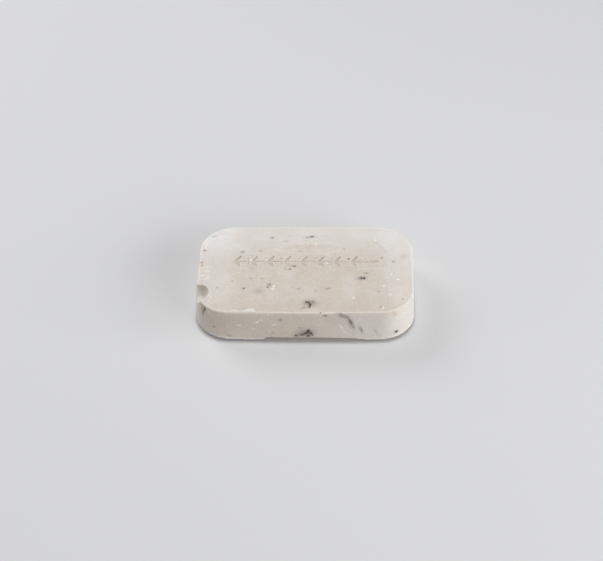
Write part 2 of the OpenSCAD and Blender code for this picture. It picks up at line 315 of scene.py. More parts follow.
# Each point is first sorted to the face, the wall or neither. From here on, the bar's wear moves it.
FACE_FROM = EDGE_Z + 0.3
WALL_INSET = 0.45
WALL_FROM = RIM_H - 0.35
points = np.zeros(len(soap_mesh.vertices) * 3)
soap_mesh.vertices.foreach_get("co", points)
points = points.reshape(-1, 3)
x, y, z = points.T.copy()
inset = inset_of(x, y)
on_face = z > FACE_FROM
on_wall = (z <= FACE_FROM) & (inset < WALL_INSET) & (z > WALL_FROM)
out_x = np.where(np.abs(x) > CORNER_X, x - np.clip(x, -CORNER_X, CORNER_X), 0)
out_y = np.where(np.abs(y) > CORNER_Y, y - np.clip(y, -CORNER_Y, CORNER_Y), 0)
out_r = np.maximum(np.hypot(out_x, out_y), 1e-6)
out_x, out_y = out_x / out_r, out_y / out_r

# The face is never quite flat: it swells and sinks a little, and its left end is rough.
SWELL_H, DIMPLE_H, LEFT_ROUGH_H = 0.11, 0.035, 0.10
slow = ripple(points, 17, 3.1)
quick = ripple(points, 4.2, 7.7)
gritty = ripple(points, 1.1, 1.3)
rough_left = ease((-x - 30) / 14) * ease((14 - np.abs(y + 3)) / 8)
pressed = worn(x, y, face_height(x, y))
edge_part = np.clip((z - (fall_edge - EDGE_R)) / EDGE_R, 0, 1)
lift = SWELL_H * slow + DIMPLE_H * quick
lift += rough_left * (LEFT_ROUGH_H * quick + 0.9 * LEFT_ROUGH_H * np.abs(gritty))
face_z = np.where(inset > EDGE_IN - 0.02, pressed + lift, z + lift * edge_part)
z = np.where(on_face, face_z, z)

# Short ridges stand near the left end, each given by its place, length, width, height and turn. A
# scratch runs off to the right of the sprig, and a shallow ring mark lies in front of it.
RIDGES = (
    (-44.9, 0.45, 4.0, 0.9, 0.50, -4),
    (-46.6, -5.2, 3.6, 0.9, 0.48, 10),
    (-44.6, -2.1, 3.2, 0.8, 0.22, -12),
    (-41.6, 21.7, 7.5, 0.7, 0.32, 4),
    (-46.2, 15.6, 6.5, 0.7, 0.28, 88),
    (-43.8, -7.2, 2.6, 0.7, 0.2, 25),
)
for ridge_x, ridge_y, length, width, high, degrees in RIDGES:
    c, s = math.cos(math.radians(degrees)), math.sin(math.radians(degrees))
    along = (x - ridge_x) * c + (y - ridge_y) * s
    across = (y - ridge_y) * c - (x - ridge_x) * s
    z += on_face * high * bell(2 * along / length) * bell(2 * across / width)
SCRATCH_FROM, SCRATCH_TO = np.array((31.9, 18.1)), np.array((36.8, 10.55))
SCRATCH_DEPTH, SCRATCH_W = 0.2, 0.35
stroke = SCRATCH_TO - SCRATCH_FROM
from_x, from_y = x - SCRATCH_FROM[0], y - SCRATCH_FROM[1]
along = np.clip((from_x * stroke[0] + from_y * stroke[1]) / (stroke @ stroke), 0, 1)
off_stroke = np.hypot(from_x - along * stroke[0], from_y - along * stroke[1])
z -= on_face * SCRATCH_DEPTH * bell(off_stroke / SCRATCH_W)
MARK_X, MARK_Y, MARK_R, MARK_H = 20.5, -18.4, 2.6, 0.05
off_mark = np.abs(np.hypot(x - MARK_X, (y - MARK_Y) * 0.6) - MARK_R)
z += on_face * MARK_H * bell(off_mark / 0.5) * ease((x - MARK_X + 2) / 2)

# White crumbs stick to the face beside the broken corner. Each patch of them is given by its place, its
# half length and half width, and how thickly they lie.
CRUMB_H, CRUMB_SIZE = 0.34, 0.85
CRUMB_PATCHES = ((-42.8, -22.0, 2.6, 3.4, 1.0), (-44.0, -5.5, 1.6, 3.5, 0.6))
crumbs = np.zeros_like(x)
for patch_x, patch_y, half_x, half_y, thickly in CRUMB_PATCHES:
    crumbs += thickly * bell((x - patch_x) / half_x) * bell((y - patch_y) / half_y)
crumbs = np.clip(crumbs, 0, 1) * np.clip(ripple(points, CRUMB_SIZE, 5.5) * 2.2 + 0.15, 0, 1)
z += on_face * CRUMB_H * crumbs

# Flash stands along the face's edge in a thin ragged line, and a curled burr along the front left. The
# burr's steps are how far along the bar each lies, and its share of the full height and reach there.
BURR = (
    (-38.2, 0.0), (-36.5, 0.15), (-33.5, 0.25), (-30.8, 0.48), (-29.4, 0.36), (-27.9, 0.20),
    (-26.4, 0.55), (-24.9, 1.0), (-23.6, 0.92), (-22.6, 1.0), (-21.9, 0.6), (-21.3, 0.05), (-20.8, 0.0),
)
BURR_H, BURR_REACH, BURR_T = 0.95, 1.4, 0.3
FLASH_LINE_W = 0.28
FLASH_LEAST, FLASH_RAGGED, FLASH_UNEVEN = 0.06, 0.05, 0.07
ragged = np.clip(ripple(points, 1.6, 4.4) * 1.6, 0, 1)
uneven = 0.5 + 0.5 * ripple(points, 5.5, 8.8)
rim_line = bell((inset - EDGE_IN) / FLASH_LINE_W) * (z > EDGE_Z + 0.25)
z += rim_line * (FLASH_LEAST + FLASH_RAGGED * ragged + FLASH_UNEVEN * uneven)
burr = np.interp(x, [step[0] for step in BURR], [step[1] for step in BURR])
burr *= bell((inset - EDGE_IN) / BURR_T) * (z > EDGE_Z + 0.15) * (y < 0)
burr *= 1 + 0.25 * ripple(points, 0.8, 2.2)
z += burr * BURR_H
y += burr * BURR_REACH

# The wall is smoother than the face.
WALL_SWELL, WALL_DIMPLE = 0.07, 0.03
swell = on_wall * (WALL_SWELL * slow + WALL_DIMPLE * quick)
x += out_x * swell
y += out_y * swell

# The foot's front edge has lost a long flake, and the rest hangs in thin rags.
GAP_MIN, GAP_MAX, GAP_H = -17.9, 27.0, 1.0
RAGS_MIN, RAGS_MAX = -37, -18.5
RAG_LEAST, RAG_MORE = 0.15, 0.2
FLARE_LEAST, FLARE_MORE = 0.06, 0.14
foot = (z < RIM_H + 1.6) & (inset < RELIEF_W) & (y < 0)
gap_share = np.clip((x - GAP_MIN) / (GAP_MAX - GAP_MIN), 0, 1)
gap_rise = GAP_H * ease((x - GAP_MIN) / 0.8) * (1 - gap_share**6) * (x < GAP_MAX)
ragged_foot = 0.10 * ripple(points, 1.3, 9.1) + 0.05 * ripple(points, 0.5, 5.1)
roof = (RIM_H + gap_rise + ragged_foot) * (1 - np.clip(inset / RELIEF_W, 0, 1)) - 0.02
near_rim = ease(1 - (z - RIM_H) / 1.4)
frayed_z = z + foot * near_rim * ragged_foot * (inset < 1)
z = np.where(foot & (gap_rise > 0.02), np.maximum(z, roof), frayed_z)
hanging = ease((x - RAGS_MIN) / 2) * ease((RAGS_MAX - x) / 0.6) * (y < 0)
z -= (inset < 0.3) * (z < RIM_H + 0.3) * hanging * (RAG_LEAST + RAG_MORE * ragged)
flare = (inset < 0.5) * ease(1 - (z - RIM_H) / 0.7) * (FLARE_LEAST + FLARE_MORE * ragged)
x += out_x * flare
y += out_y * flare

x, y = bowed(x, y)

# One scoop is missing from the left end and a rough flake from the front left corner. Each is a ball's
# print, and every point in it is moved onto the ball, seen from an eye that lies outside the bar.
def beside_corner(degrees, out, height):
    a = math.radians(degrees)
    return np.array((-CORNER_X + out * math.cos(a), -CORNER_Y + out * math.sin(a), height))


BITE_ANGLE, FLAKE_ANGLE = 187.5, 235
BITE = {
    "middle": beside_corner(BITE_ANGLE, CORNER_R - 1.0, 17.8),
    "eye": beside_corner(BITE_ANGLE, CORNER_R + 1.4, 19.0),
    "radius": 5.3,
    "rough": 0.10,
    "whiteness": 0.1,
}
FLAKE = {
    "middle": beside_corner(FLAKE_ANGLE, 37.7, 21.3),
    "eye": beside_corner(FLAKE_ANGLE, 37.7, 21.3),
    "radius": 24.0,
    "rough": 0.32,
    "whiteness": 0.25,
}
BREAK_LINE_W = 0.34
broken = np.zeros_like(x)
break_line = np.zeros_like(x)
cuts = []
for loss in (BITE, FLAKE):
    middle, eye, rough = loss["middle"], loss["eye"], loss["rough"]
    place = np.stack((x, y, z), axis=1)
    far = np.linalg.norm(place - eye, axis=1)
    ray = (place - eye) / np.maximum(far, 1e-6)[:, None]
    bumpy = loss["radius"] + rough * ripple(points, 2.2, 6.3) + rough * 0.9 * ripple(points, 0.9, 2.9)
    along = ray @ (middle - eye)
    reach = along + np.sqrt(np.maximum(along**2 - np.sum((middle - eye) ** 2) + bumpy**2, 0))
    depth = bumpy - np.linalg.norm(place - middle, axis=1)
    push = np.where(depth > 0, np.maximum(reach - far, 0), 0)
    inside = ease(push / 0.5)
    cuts.append(inside)
    broken = np.maximum(broken, inside * loss["whiteness"])
    break_line = np.maximum(break_line, on_face * bell((depth + 0.12) / BREAK_LINE_W))
    x += ray[:, 0] * push
    y += ray[:, 1] * push
    z += ray[:, 2] * push
in_bite, in_flake = cuts

soap_mesh.vertices.foreach_set("co", (np.stack((x, y, z), axis=1) * MM).ravel())
soap_mesh.update()
soap = bpy.data.objects.new("soap_bar_pressed", soap_mesh)
bpy.context.scene.collection.objects.link(soap)
for polygon in soap_mesh.polygons:
    polygon.use_smooth = True
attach(soap, "root")
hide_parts("soap_bar")

# The stains that the dried flowers bled into the soap are soft edged. Purple brown ones ring the dark
# pieces, ochre ones have lost their piece, and grey ones lie under the surface. Each is given by its
# kind, its place, its length and width, its turn and its strength.
FACE_STAINS = (
    ("purple", 25.5, -6.4, 4.6, 2.6, 0, 0.50),
    ("purple", 2.6, -22.5, 6.8, 4.6, 0, 0.50),
    ("grey", -0.3, -25.4, 2.6, 1.6, 20, 0.42),
    ("purple", 1.8, 21.2, 6.6, 1.6, 8, 0.33),
    ("purple", -15.8, 20.65, 2.6, 1.5, 0, 0.39),
    ("grey", -9.3, 18.2, 3.0, 1.2, 10, 0.33),
    ("purple", -28.9, 10.95, 1.9, 1.6, 0, 0.44),
    ("purple", -21.0, 11.6, 1.3, 1.1, 0, 0.39),
    ("ochre", -46.6, 12.2, 2.0, 1.5, 0, 0.60),
    ("ochre", -42.7, 22.0, 2.6, 1.1, 4, 0.60),
    ("ochre", -46.8, 1.8, 1.6, 1.2, 0, 0.60),
    ("ochre", -47.3, 3.75, 2.2, 1.6, 10, 0.54),
    ("purple", 17.3, 12.8, 1.2, 1.0, 0, 0.44),
    ("ochre", 28.6, 14.85, 1.2, 1.0, 0, 0.36),
    ("ochre", 34.5, 7.5, 1.3, 1.0, 0, 0.54),
    ("ochre", 39.6, 4.45, 1.9, 1.0, -10, 0.54),
    ("grey", 44.6, 8.65, 5.0, 3.4, 40, 0.18),
    ("purple", 27.2, -3.1, 2.4, 1.1, -5, 0.39),
    ("grey", -5.6, 2.0, 3.2, 1.0, 0, 0.48),
    ("ochre", -7.1, -0.45, 2.4, 1.2, 25, 0.54),
    ("ochre", -9.2, -0.55, 1.2, 1.0, 0, 0.42),
    ("grey", 19.6, 6.7, 2.6, 1.0, 0, 0.36),
    ("grey", -11.0, 6.9, 1.6, 1.1, 0, 0.30),
    ("ochre", -24.6, 8.55, 1.2, 1.0, 0, 0.30),
    ("ochre", -28.7, 7.6, 1.2, 1.0, 0, 0.30),
    ("ochre", -24.0, 0.15, 1.6, 1.2, 0, 0.30),
    ("ochre", 5.0, 7.3, 1.3, 1.0, 0, 0.27),
    ("ochre", -1.6, 6.7, 1.9, 0.9, 0, 0.27),
    ("grey", -2.7, 12.4, 2.2, 1.3, 0, 0.21),
    ("ochre", 8.8, 22.0, 1.8, 0.8, 0, 0.30),
    ("ochre", -7.2, 21.7, 1.4, 1.0, 0, 0.30),
    ("ochre", -32.5, -8.75, 1.1, 0.9, 0, 0.54),
    ("ochre", -38.9, -13.1, 1.2, 1.0, 0, 0.48),
    ("ochre", -24.1, -6.8, 1.2, 1.0, 0, 0.48),
    ("ochre", -19.2, -6.9, 1.5, 1.1, 0, 0.48),
    ("purple", -27.1, -13.3, 1.8, 1.3, 0, 0.44),
    ("purple", -16.0, -11.3, 2.6, 2.4, 50, 0.39),
    ("purple", -20.4, -15.25, 5.2, 4.4, 0, 0.23),
    ("purple", -20.4, -15.25, 1.8, 1.5, 0, 0.28),
    ("purple", -2.8, -13.3, 1.9, 1.0, 10, 0.50),
    ("purple", 10.3, -13.2, 2.8, 1.2, 12, 0.50),
    ("ochre", 4.8, -14.85, 1.2, 1.0, 0, 0.54),
    ("ochre", -17.5, -21.6, 1.2, 1.0, 0, 0.36),
    ("ochre", -31.8, -22.0, 1.2, 1.0, 0, 0.24),
    ("ochre", 32.9, -15.05, 1.1, 0.9, 0, 0.48),
    ("ochre", 43.4, -19.95, 1.1, 0.9, 0, 0.48),
    ("ochre", 33.9, -24.75, 1.5, 1.1, 0, 0.54),
    ("grey", 36.9, -20.25, 1.8, 1.2, 0, 0.15),
    ("grey", 24.0, -9.95, 1.6, 1.0, 0, 0.15),
)
FRONT_STAINS_AND_SHADE = (
    ("grey", 17.2, 15.6, 6.4, 3.0, -28, 0.50),
    ("grey", 20.5, 11.4, 8.4, 2.6, -70, 0.60),
    ("purple", 18.6, 14.8, 4.0, 1.5, -35, 0.30),
    ("grey", 24.9, 7.9, 6.4, 1.5, -72, 0.15),
    ("purple", 25.1, 7.2, 4.2, 1.3, -72, 0.42),
    ("grey", 31.9, 5.7, 6.0, 0.7, -60, 0.27),
    ("ochre", 39.6, 16.8, 1.2, 3.4, 0, 0.45),
    ("ochre", 40.2, 14.4, 1.9, 1.5, 0, 0.33),
    ("purple", 40.5, 4.1, 2.3, 2.1, 0, 0.33),
    ("purple", 7.2, 16.8, 1.4, 1.2, 0, 0.39),
    ("purple", 9.3, 15.7, 2.4, 1.4, -10, 0.39),
    ("purple", -10.6, 12.9, 1.8, 1.5, 0, 0.39),
    ("ochre", -13.9, 5.1, 1.4, 1.1, 0, 0.42),
    ("purple", -40.2, 6.9, 1.3, 1.1, 0, 0.39),
    ("grey", -33.5, 3.3, 3.2, 1.2, -20, 0.36),
    ("purple", -2.1, 8.3, 1.3, 1.1, 0, 0.33),
    ("grey", 0.6, 4.9, 8.6, 5.0, 8, 0.55),
    ("grey", 1.8, 5.0, 5.2, 4.4, 20, 0.80),
    ("grey", -1.4, 4.1, 4.8, 1.9, 8, 0.70),
    ("purple", -3.7, 3.5, 2.4, 1.8, 0, 0.39),
    ("purple", -25.5, 10.5, 1.5, 1.2, 0, 0.17),
    # This last wide, faint grey blot on the left of the front wall is painted shade, not a stain.
    ("grey", -34.5, 11.4, 15.0, 12.0, 0, 0.13),
)
STAIN_KINDS = ("purple", "ochre", "grey")


def blot(across, along, centre_across, centre_along, length, width, degrees, strength):
    """An oval with a soft edge."""
    c, s = math.cos(math.radians(degrees)), math.sin(math.radians(degrees))
    u = (across - centre_across) * c + (along - centre_along) * s
    v = (along - centre_along) * c - (across - centre_across) * s
    return strength * np.exp(-((u * u * 4 / length**2 + v * v * 4 / width**2) ** 1.3))


# Marks go by where the die had each point, before the wear moved it.
face_x, face_y, wall_z = points.T
on_front = on_wall & (face_y < -CORNER_Y)
stain_and_shade = np.zeros((len(points), 4))
blurred = 1 + 0.25 * quick
for spots, part, along in ((FACE_STAINS, on_face, face_y), (FRONT_STAINS_AND_SHADE, on_front, wall_z)):
    for kind, *spot in spots:
        channel = STAIN_KINDS.index(kind)
        spread = part * blurred * blot(face_x, along, *spot)
        stain_and_shade[:, channel] = np.maximum(stain_and_shade[:, channel], spread)
DRIP_ANGLE, DRIP_Z, DRIP_STRENGTH = 219.5, 12.9, 0.35
around = np.degrees(np.arctan2(face_y + CORNER_Y, face_x + CORNER_X)) % 360
on_corner = (face_x < -CORNER_X) & (face_y < -CORNER_Y) & (wall_z < FACE_H - 0.3)
drip = np.exp(-(((around - DRIP_ANGLE) / 4) ** 4) - ((wall_z - DRIP_Z) / 3.6) ** 4)
stain_and_shade[:, 0] = np.maximum(stain_and_shade[:, 0], on_corner * DRIP_STRENGTH * drip)
# The underside, where the foot lifts off the floor, is painted ochre and grey: painted shade under the
# bar, kept in the stain layer.
UNDER_SHADE_OCHRE, UNDER_SHADE_GREY = 0.55, 0.35
under = (wall_z < RIM_H + 0.1) * ease((inset - 0.25) / 0.3)
stain_and_shade[:, 1] = np.maximum(stain_and_shade[:, 1], UNDER_SHADE_OCHRE * under)
stain_and_shade[:, 2] = np.maximum(stain_and_shade[:, 2], UNDER_SHADE_GREY * under)
stain_and_shade[:, 3] = 1

# Pale places: the thin standing edge and the foot's flash, each painted with a highlight, the break
# line, ridges, crumbs and rags, the broken faces, and the clear salt crystals and curls of white soap.
# Each curl is given by its place, length, width and turn.
CRYSTALS = (
    (31.9, 19.15), (4.5, 16.5), (9.7, 3.85), (35.1, -11.5), (37.9, -17.1), (-20.9, 4.35), (-24.8, 6.05),
    (38.6, -3.75), (41.4, -7.4), (34.6, -25.45), (21.7, -19.15), (-13.8, -11.9), (-14.4, -13.45),
)
CURLS = (
    (-20.8, 11.7, 3.0, 0.7, 35),
    (-18.9, 12.8, 1.6, 0.6, -20),
    (-13.4, 10.0, 2.2, 0.7, 25),
    (-28.6, 9.3, 1.2, 0.8, 0),
    (-22.6, 7.3, 1.3, 0.8, 0),
    (16.2, 8.9, 3.2, 0.8, -58),
    (18.0, 5.8, 2.6, 0.7, -48),
)
CURL_STRENGTH, RIDGE_STRENGTH, CRUMB_STRENGTH = 0.7, 1.25, 0.85
CRYSTAL_SPREAD, CRYSTAL_STRENGTH = 0.17, 1.7
edge_highlight = bell((inset - EDGE_IN) / 0.32) * (wall_z > EDGE_Z + 0.1)
edge_highlight = np.clip(edge_highlight * (0.35 + 0.25 * ragged + 0.35 * uneven) + np.clip(burr, 0, 1), 0, 1)
edge_highlight *= 1 - 0.85 * np.maximum(in_bite, in_flake)
foot_highlight = bell((inset - 0.05) / 0.3) * ease((RIM_H + 0.9 - wall_z) / 0.5) * (wall_z > RIM_H - 0.4)
pale_lines = np.maximum(edge_highlight, break_line * (0.45 + 0.55 * ragged))
pale_lines = np.maximum(pale_lines, on_face * CRUMB_STRENGTH * crumbs)
for ridge_x, ridge_y, length, width, _, degrees in RIDGES:
    ridge = blot(face_x, face_y, ridge_x, ridge_y, length, width, degrees, RIDGE_STRENGTH)
    pale_lines = np.maximum(pale_lines, on_face * 0.8 * ridge)
pale_lines = np.maximum(pale_lines, foot_highlight * (0.4 + 0.6 * ragged))
clear = np.zeros_like(x)
for curl in CURLS:
    clear = np.maximum(clear, on_front * blot(face_x, wall_z, *curl, CURL_STRENGTH))
for crystal_x, crystal_y in CRYSTALS:
    away = (face_x - crystal_x) ** 2 + (face_y - crystal_y) ** 2
    near = CRYSTAL_STRENGTH * np.exp(-away / CRYSTAL_SPREAD)
    clear = np.maximum(clear, on_face * np.clip(near, 0, 1))
pale = np.stack((pale_lines, broken, clear, np.ones_like(x)), axis=1)

# The face is painted paler towards the back, the ends and the worn corner, and the walls paler
# towards the right and in the bite. This is partly a chalky dried skin and partly painted sheen and
# painted light.
CHALK_AND_SHEEN_BACK, CHALK_AND_SHEEN_ENDS, CHALK_AND_LIGHT_WORN = 0.55, 0.36, 0.95
pale_ends = ease((-face_x - 24) / 16) + ease((face_x - 30) / 12)
chalk_and_sheen = CHALK_AND_SHEEN_BACK * ease((face_y - 2) / 22) + CHALK_AND_SHEEN_ENDS * pale_ends
worn_depth = face_height(face_x, face_y) - pressed
chalk_and_sheen = np.maximum(chalk_and_sheen * (1 + 0.35 * slow), CHALK_AND_LIGHT_WORN * ease(worn_depth / 0.35))
chalk_and_sheen *= ease((face_y + 29) / 10)
chalk_and_sheen = np.where(on_face, chalk_and_sheen, on_wall * (0.10 + 0.30 * ease((face_x - 5) / 40)))
chalk_and_sheen += in_bite * (on_wall * 0.5 - on_face * chalk_and_sheen)

# Painted shade darkens the floors of the sprig and the dish, most at the dish's back, and the
# scratch's groove. Painted highlights brighten the lips of the sprig, the dish's front lip and the
# pinched line. The sprig is toned as if lit from the back left: on the front right side of each stroke
# its lips are paler and its floor lighter, so that its shallow relief shows.
PAINTED_LIGHT_X, PAINTED_LIGHT_Y = 0.55, -0.85
SLOPE_STEP = 0.1
DISH_SHADE, DISH_HIGHLIGHT, SCRATCH_SHADE = 0.9, 0.95, 0.8
sprig_x, sprig_y = face_x, face_y - BAND_Y
sprig = sprig_distance(sprig_x, sprig_y)
slope_x = sprig_distance(sprig_x + SLOPE_STEP, sprig_y) - sprig_distance(sprig_x - SLOPE_STEP, sprig_y)
slope_y = sprig_distance(sprig_x, sprig_y + SLOPE_STEP) - sprig_distance(sprig_x, sprig_y - SLOPE_STEP)
painted_light_facing = (slope_x * PAINTED_LIGHT_X + slope_y * PAINTED_LIGHT_Y) / (2 * SLOPE_STEP)
sprig_floor_shade = ease(0.5 - (sprig + 0.05) / SPRIG_SLOPE) * np.clip(0.75 - 0.55 * painted_light_facing, 0.25, 1)
sprig_lip_highlight = bell((sprig - 0.2) / 0.22) * (0.6 + 0.4 * ragged) * np.clip(0.45 + 0.6 * painted_light_facing, 0.1, 1)
pinch = bell((face_y - pinch_line(face_x)) / PINCH_W) * (np.abs(face_x) < BAND_L / 2 + 0.3)
pinch *= (0.75 * pinch_whole(face_x) + 0.25) * (0.5 + 0.5 * ragged)
dish = dish_share(face_x, face_y)
dish_floor_shade = ease((1.1 - dish) / 0.7) * ease((face_y - DISH_Y + 1.0) / 2.2) * (0.7 + 0.5 * quick)
dish_lip_highlight = bell((dish - 1.15) / 0.2) * ease((DISH_Y - face_y) / 2) * (0.6 + 0.4 * ragged)
scratch_shade = SCRATCH_SHADE * bell(off_stroke / 0.3)
sunk = on_face * np.maximum(np.maximum(sprig_floor_shade, DISH_SHADE * dish_floor_shade), scratch_shade)
lip_highlights = on_face * np.maximum(np.maximum(sprig_lip_highlight, pinch), DISH_HIGHLIGHT * dish_lip_highlight)

# A warm painted shade darkens the front of the face and the walls, most at the left, and the hollows
# of the bite and the flake.
SHADE_FRONT, SHADE_LEFT, SHADE_RIGHT = 0.45, 0.85, 0.10
SHADE_BITE, SHADE_FLAKE = 0.9, 0.3
towards_left = 1 - ease((face_x + 8) / 42)
wall_shade = on_wall * (SHADE_RIGHT + (SHADE_LEFT - SHADE_RIGHT) * towards_left)
warm_shade = np.where(on_face, SHADE_FRONT * ease((-face_y - 14) / 12), wall_shade)
warm_shade += in_bite * (on_face * SHADE_BITE - on_wall * warm_shade) + SHADE_FLAKE * in_flake
wear = np.stack((chalk_and_sheen, sunk, lip_highlights, warm_shade), axis=1)

# The three layers of marks, painted shade and painted light are kept on the mesh, and the soap's
# material reads them from there.
for name, values in (("stain_and_shade", stain_and_shade), ("pale", pale), ("wear", wear)):
    layer = soap_mesh.color_attributes.new(name, "FLOAT_COLOR", "POINT")
    layer.data.foreach_set("color", np.clip(values, 0, 1).ravel())


class Wire:
    """A shader socket. Arithmetic on it adds Math nodes to its material."""

    def __init__(self, tree, socket=None):
        self.tree = tree
        self.socket = socket

    def add(self, kind, settings=None, inputs=None, output=0):
        """Adds a node: its settings first, then the values or links of its sockets."""
        node = self.tree.nodes.new(kind)
        for name, value in (settings or {}).items():
            setattr(node, name, value)
        for key, value in (inputs or {}).items():
            if isinstance(value, Wire):
                self.tree.links.new(value.socket, node.inputs[key])
            else:
                node.inputs[key].default_value = value
        return Wire(self.tree, node.outputs[output])

    def maths(self, operation, *values):
        return self.add("ShaderNodeMath", {"operation": operation}, dict(enumerate(values)))

    def __add__(self, other):
        return self.maths("ADD", self, other)

    def __sub__(self, other):
        return self.maths("SUBTRACT", self, other)

    def __rsub__(self, other):
        return self.maths("SUBTRACT", other, self)

    def __mul__(self, other):
        return self.maths("MULTIPLY", self, other)

    __radd__ = __add__
    __rmul__ = __mul__

    def at_most(self, limit):
        return self.maths("MINIMUM", self, limit)

    def mixed(self, first, second):
        """A colour between two, by this socket as the share."""
        first, second = [c if isinstance(c, Wire) else (*c, 1) for c in (first, second)]
        inputs = {0: self, 6: first, 7: second}
        return self.add("ShaderNodeMix", {"data_type": "RGBA"}, inputs, output=2)

    def noise(self, size, detail=2, rough=0.5):
        """Noise in lumps of that many millimetres, from 0 to 1."""
        place = self.add("ShaderNodeTexCoord", output=3)
        inputs = {"Vector": place, "Scale": 1 / (size * MM), "Detail": detail, "Roughness": rough}
        return self.add("ShaderNodeTexNoise", None, inputs)

    def between(self, low, high):
        """This socket, stretched so that low becomes 0 and high becomes 1, with soft ends."""
        settings = {"interpolation_type": "SMOOTHSTEP"}
        return self.add("ShaderNodeMapRange", settings, {0: self, 1: low, 2: high, 3: 0.0, 4: 1.0})

    def painted(self, layer):
        """The three colour channels of a mesh's colour attribute."""
        colour = self.add("ShaderNodeAttribute", {"attribute_name": layer})
        split = self.add("ShaderNodeSeparateColor", None, {0: colour}).socket.node
        return [Wire(self.tree, output) for output in split.outputs]


def new_material(name):
    """A material with its tree emptied, ready for a surface."""
    material = bpy.data.materials.new(name)
    material.use_nodes = True
    material.node_tree.nodes.clear()
    return material, Wire(material.node_tree)


def finish_surface(wires, shader):
    output = wires.tree.nodes.new("ShaderNodeOutputMaterial")
    wires.tree.links.new(shader.socket, output.inputs["Surface"])


# The soap itself is clouded and mottled, darker and warmer where shade is painted in, paler where it
# has a chalky skin and where sheen and light are painted in, and full of fine white salt. The chips
# are given by how far apart they lie and how wide they are.
SOAP_COLOUR = (0.662, 0.596, 0.528)
SOAP_CLOUD = (0.765, 0.718, 0.672)
SOAP_DEEP = (0.560, 0.475, 0.385)
SOAP_CHALK_AND_SHEEN = (0.872, 0.858, 0.848)
PURPLE_BROWN = (0.115, 0.062, 0.060)
OCHRE = (0.500, 0.225, 0.065)
GREY_GREEN = (0.190, 0.168, 0.145)
SALT_AND_HIGHLIGHT_WHITE = (0.930, 0.922, 0.900)
CRYSTAL_WHITE = (0.970, 0.968, 0.960)
CLOUD_SHARE, MOTTLE_SHARE, WARM_SHADE_SHARE = 0.6, 0.28, 0.62
HOLLOW_SHADE_SHARE, LIP_HIGHLIGHT_SHARE, EDGE_SHARE, BROKEN_SHARE = 0.5, 0.9, 0.9, 0.55
GRAIN_PALE, GRAIN_DEEP = 0.32, 0.26
CHIPS = ((1.7, 0.26), (4.1, 0.46))
CHIPLESS, CHIP_BLUR = 0.60, 0.05
PORE_DEPTH = 0.12
soap_material, wires = new_material("soap")
chalk_and_sheen, sunk, lip_highlights = wires.painted("wear")
warm_shade = wires.add("ShaderNodeAttribute", {"attribute_name": "wear"}, output=3)
purple, ochre, grey = wires.painted("stain_and_shade")
pale_lines, broken, clear = wires.painted("pale")
cloud = wires.noise(11, detail=3, rough=0.55).between(0.34, 0.70)
mottle = wires.noise(2.6, detail=4, rough=0.6).between(0.38, 0.72)
speckle = wires.noise(0.55, detail=2).between(0.58, 0.75)
colour = (cloud * CLOUD_SHARE).mixed(SOAP_COLOUR, SOAP_CLOUD)
colour = (mottle * MOTTLE_SHARE).mixed(colour, SOAP_DEEP)
# Warm painted shade.
colour = (warm_shade * WARM_SHADE_SHARE).mixed(colour, SOAP_DEEP)
# A chalky skin, partly painted sheen and painted light.
colour = (chalk_and_sheen * (0.75 + mottle * 0.25)).mixed(colour, SOAP_CHALK_AND_SHEEN)
colour = (speckle * (0.22 + chalk_and_sheen * 0.4)).mixed(colour, SALT_AND_HIGHLIGHT_WHITE)
for chip_spacing, chip_size in CHIPS:
    cells = {"Vector": wires.add("ShaderNodeTexCoord", output=3), "Scale": 1 / (chip_spacing * MM)}
    from_seed = wires.add("ShaderNodeTexVoronoi", None, cells) + wires.noise(0.4, detail=1) * 0.12
    lot = wires.add("ShaderNodeTexVoronoi", None, cells, output=1)
    lot = wires.add("ShaderNodeSeparateColor", None, {0: lot})
    chip_end = chip_size / chip_spacing
    chip = 1 - from_seed.between(chip_end, chip_end + CHIP_BLUR)
    colour = (chip * lot.between(CHIPLESS, CHIPLESS + 0.02)).mixed(colour, SALT_AND_HIGHLIGHT_WHITE)
# Painted shade in the hollows, then painted highlights on the lips.
colour = (sunk * HOLLOW_SHADE_SHARE).mixed(colour, SOAP_DEEP)
colour = (lip_highlights * LIP_HIGHLIGHT_SHARE).mixed(colour, SALT_AND_HIGHLIGHT_WHITE)
frayed = wires.noise(0.7, detail=3) * 0.7 + 0.65
for stained, tint in ((grey, GREY_GREEN), (ochre, OCHRE), (purple, PURPLE_BROWN)):
    colour = (stained * frayed).at_most(1.0).mixed(colour, tint)
# Pale lines, with the painted highlights along the edge and the foot's flash.
colour = (pale_lines * EDGE_SHARE).mixed(colour, SALT_AND_HIGHLIGHT_WHITE)
colour = (broken * mottle * BROKEN_SHARE).mixed(colour, SALT_AND_HIGHLIGHT_WHITE)
colour = clear.mixed(colour, CRYSTAL_WHITE)
grain = wires.noise(0.3, detail=2)
colour = (grain.between(0.50, 0.68) * GRAIN_PALE).mixed(colour, SALT_AND_HIGHLIGHT_WHITE)
colour = ((1 - grain).between(0.50, 0.68) * GRAIN_DEEP).mixed(colour, SOAP_DEEP)
pores = wires.noise(0.9, detail=4, rough=0.65)
fine_bump = wires.add(
    "ShaderNodeBump", None, {"Strength": 0.4, "Distance": PORE_DEPTH * MM, "Height": pores}
)
surface = wires.add(
    "ShaderNodeBsdfPrincipled",
    {"subsurface_method": "RANDOM_WALK"},
    {
        "Base Color": colour,
        "Roughness": 0.58 + mottle * 0.12 + speckle * 0.06,
        "Normal": fine_bump,
        "IOR": 1.46,
        "Specular IOR Level": 0.3,
        "Subsurface Weight": 0.35,
        "Subsurface Radius": (1.0, 0.72, 0.5),
        "Subsurface Scale": 0.8 * MM,
    },
)
finish_surface(wires, surface)
soap_mesh.materials.append(soap_material)

